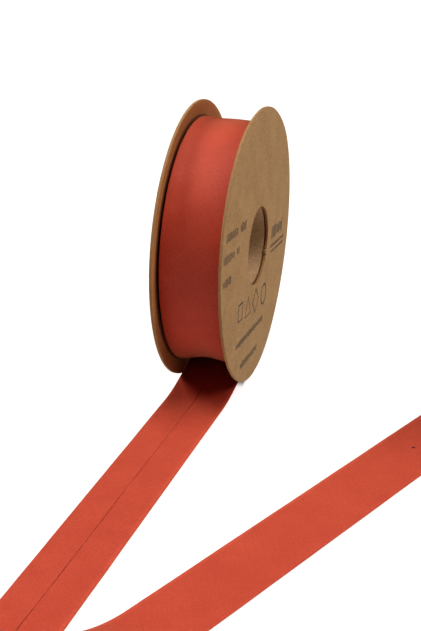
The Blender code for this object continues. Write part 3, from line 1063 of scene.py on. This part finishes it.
def outline_tree():
    """A flat bar swept round a circle of few corners, standing in the disc's plane."""
    tree, given = geometry_tree("plain_outline", {
        "Centre": Vector((0.0, 0.0, 0.0)),
        "Stretch": Vector((1.0, 1.0, 1.0)),
        "Radius": 0.004,
        "Corners": 4,
        "Turn": 0.0,
        "Line Width": 0.0004,
        "Depth": INK_DEPTH,
    })
    loop = node(tree, "GeometryNodeCurvePrimitiveCircle", {
        "Resolution": given["Corners"],
        "Radius": given["Radius"],
    })
    first = node(tree, "ShaderNodeCombineXYZ", {2: given["Turn"]})
    spun = {"Geometry": loop.outputs[0], "Rotation": first.outputs[0]}
    turned = node(tree, "GeometryNodeTransform", spun)
    stretched = {"Geometry": turned.outputs[0], "Scale": given["Stretch"]}
    wide = node(tree, "GeometryNodeTransform", stretched)
    section = node(tree, "GeometryNodeCurvePrimitiveQuadrilateral", {
        "Width": given["Line Width"],
        "Height": given["Depth"],
    })
    swept = node(tree, "GeometryNodeCurveToMesh", {
        "Curve": wide.outputs[0],
        "Profile Curve": section.outputs[0],
    })
    stand = node(tree, "GeometryNodeTransform", {
        "Geometry": swept.outputs[0],
        "Translation": given["Centre"],
        "Rotation": (math.pi / 2.0, 0.0, math.pi / 2.0),
    })
    finish_tree(tree, stand.outputs[0], ink)
    return tree


# %% Place the marks on the right disc
PRINT_SLOPE = math.radians(-6.5)
PRINT_FACE = DISC_SPACING / 2.0 + DISC_THICKNESS
ticks = tick_row_tree()
outline = outline_tree()
mark_meshes = []


def print_place(y, z):
    """A place on the right disc's outer face, in millimetres from under the axis."""
    return REEL + Vector((PRINT_FACE, y * MM, z * MM))


def tick_row(y, z, length, height, spacing, seed):
    """A row of ticks whose middle line starts at y, z and runs down the print's slope."""
    along = Vector((0.0, math.cos(PRINT_SLOPE), math.sin(PRINT_SLOPE)))
    mark_meshes.append(grown(
        "ticks",
        ticks,
        start=print_place(y, z),
        step=along * spacing * MM,
        count=max(2, round(length / spacing)),
        lean=PRINT_SLOPE,
        tick_width=0.42 * spacing * MM,
        tick_height=height * MM,
        depth=INK_DEPTH,
        seed=seed,
    ))


def plain_outline(y, z, radius, corners, turn, stretch=1.0, line_width=0.60):
    """One closed outline with this many corners."""
    mark_meshes.append(grown(
        "outline",
        outline,
        centre=print_place(y, z),
        stretch=Vector((1.0, stretch, 1.0)),
        radius=radius * MM,
        corners=corners,
        turn=turn + PRINT_SLOPE,
        line_width=line_width * MM,
        depth=INK_DEPTH,
    ))


tick_row(-39.4, 60.9, 13.5, 3.2, 1.05, 1)
tick_row(-23.2, 59.1, 7.4, 3.2, 1.05, 2)
tick_row(-42.4, 54.6, 12.8, 3.0, 1.05, 3)
tick_row(-27.2, 52.9, 3.6, 3.0, 1.05, 4)
tick_row(-43.0, 47.3, 9.6, 3.0, 1.05, 5)
plain_outline(-22.3, 30.4, 3.9, 4, math.pi / 4.0)
plain_outline(-12.4, 27.6, 4.2, 3, math.pi / 2.0)
plain_outline(-2.0, 26.6, 4.1, 4, 0.0)
plain_outline(9.6, 24.6, 3.5, 28, 0.0)
tick_row(-27.7, 20.2, 37.6, 2.4, 0.85, 6)
tick_row(-22.1, 10.9, 24.0, 2.6, 0.95, 7)
tick_row(19.4, 43.6, 16.5, 5.2, 1.5, 8)
tick_row(17.8, 39.0, 20.5, 1.3, 0.80, 9)
tick_row(18.6, 36.9, 19.0, 1.2, 0.80, 10)
print(f"print marks: {len(mark_meshes)} rows and outlines")

# %% Join the marks into one piece that follows the board's warp
marks_builder = bmesh.new()
for mark in mark_meshes:
    marks_builder.from_mesh(mark)
for vertex in marks_builder.verts:
    vertex.co.x += disc_warp(vertex.co, 1.0)
bmesh.ops.recalc_face_normals(marks_builder, faces=marks_builder.faces)
marks_mesh = bpy.data.meshes.new("print_marks")
marks_builder.to_mesh(marks_mesh)
marks_builder.free()
print_marks = new_piece("print_marks", marks_mesh, ink)
print(f"print marks: {len(marks_mesh.polygons)} faces")

# %% [markdown]
# ## Floor and light
#
# The reel stands on a white table. The picture shows where the light comes from: both
# discs are lit flat on, the roll is bright on top and dark in front, and only the table
# lifts its lower half. One lamp in front would flatten it. So there is a soft light on the
# left, two on the right, one above and a very faint one in front, all well back. The table
# has a light of its own, which keeps it evenly white. It fades out between the discs, where
# the real table lies in shade. The pale room gives little light but is seen as white.

# %% White table
FLOOR_SIZE = 9.0
FLOOR_GAP = 0.02 * MM
FLOOR_WHITE = (0.22, 0.22, 0.22, 1.0)
FLOOR_GLOW = (1.0, 0.98, 0.97, 1.0)
FLOOR_LIFT = 0.61
SHADE_BETWEEN_DISCS = (9.6 * MM, 10.8 * MM)
SHADE_ALONG_DISCS = (9.0 * MM, 16.0 * MM)


def white_table():
    """A large level sheet of matt white under the reel, with a little light of its own."""
    material, tree, shader = new_material("white_table", 0.9)
    place = node(tree, "ShaderNodeTexCoord").outputs["Object"]
    soft = speckle(tree, place, 3.0, 2.0)
    from_reel = node(tree, "ShaderNodeVectorMath", {0: place, 1: tuple(REEL)}, operation="SUBTRACT")
    parts = node(tree, "ShaderNodeSeparateXYZ", {0: from_reel.outputs[0]})
    beside = fade(tree, calc(tree, "ABSOLUTE", parts.outputs["X"]), *SHADE_BETWEEN_DISCS)
    ahead = fade(tree, calc(tree, "ABSOLUTE", parts.outputs["Y"]), *SHADE_ALONG_DISCS)
    glow = calc(tree, "MULTIPLY", calc(tree, "MAXIMUM", beside, ahead), FLOOR_LIFT)
    shade = [0.97 * c for c in FLOOR_WHITE[:3]] + [1.0]
    tree.links.new(blend_colours(tree, soft, shade, FLOOR_WHITE), shader.inputs["Base Color"])
    shader.inputs["Emission Color"].default_value = FLOOR_GLOW
    tree.links.new(glow, shader.inputs["Emission Strength"])
    shader.inputs["Specular IOR Level"].default_value = 0.1
    half = FLOOR_SIZE / 2.0
    corners = [(x * half, y * half, -FLOOR_GAP) for x, y in ((-1, -1), (1, -1), (1, 1), (-1, 1))]
    mesh = bpy.data.meshes.new("white_table")
    mesh.from_pydata(corners, [], [(0, 1, 2, 3)])
    sheet = new_piece("white_table", mesh, material)
    return sheet


floor = white_table()

# %% Soft lights round the reel, and a pale room
LIGHT_DISTANCE = 2.2
LIGHT_TARGET = REEL + Vector((0.0, -0.05, 0.03))
ROOM_LIGHT = 0.02
LIGHTS = (
    ("soft_light_left", -86.0, 42.0, 1.0, 20.0),
    ("soft_light_right_low", 86.0, 40.0, 0.9, 12.0),
    ("soft_light_right_high", 92.0, 66.0, 1.1, 9.0),
    ("soft_light_above", 180.0, 87.0, 1.4, 17.5),
    ("soft_light_front", 0.0, 62.0, 0.9, 1.5),
)


def soft_light(name, azimuth, elevation, size, power):
    """A round soft light; azimuth 0 is in front of the reel and 90 is on its right."""
    data = bpy.data.lights.new(name, "AREA")
    data.shape = "DISK"
    data.size = size
    data.energy = power
    light = bpy.data.objects.new(name, data)
    level = math.cos(math.radians(elevation))
    sideways = math.sin(math.radians(azimuth)) * level
    forward = -math.cos(math.radians(azimuth)) * level
    towards = Vector((sideways, forward, math.sin(math.radians(elevation))))
    light.location = LIGHT_TARGET + towards * LIGHT_DISTANCE
    light.rotation_euler = (-towards).to_track_quat("-Z", "Y").to_euler()
    bpy.context.scene.collection.objects.link(light)


for light in LIGHTS:
    soft_light(*light)
room = bpy.data.worlds.new("pale_room")
room.use_nodes = True
background = room.node_tree.nodes["Background"]
background.inputs["Color"].default_value = (1.0, 1.0, 1.0, 1.0)
seen = node(room.node_tree, "ShaderNodeLightPath").outputs["Is Camera Ray"]
backdrop = fade(room.node_tree, seen, 0.0, 1.0, ROOM_LIGHT, 1.0)
room.node_tree.links.new(backdrop, background.inputs["Strength"])
bpy.context.scene.world = room
bpy.context.scene.view_settings.view_transform = "Standard"
bpy.context.scene.view_settings.look = "High Contrast"

# %% [markdown]
# ## Say what each piece stands for
#
# Each piece rides on the one body of the model and replaces the plain solid that it was
# made from.

# %% Ride and replace
pieces = (
    (loose_tape, "loose_end", "cloth"),
    (wound_tape, "tape_roll", "cloth"),
    (disc_left, "flange_left", "card"),
    (disc_right, "flange_right", "card"),
    (tube, "core_tube", "tube_card"),
)
for piece, replaced, slot in pieces:
    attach(piece, "root")
    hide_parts(replaced)
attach(print_marks, "root")
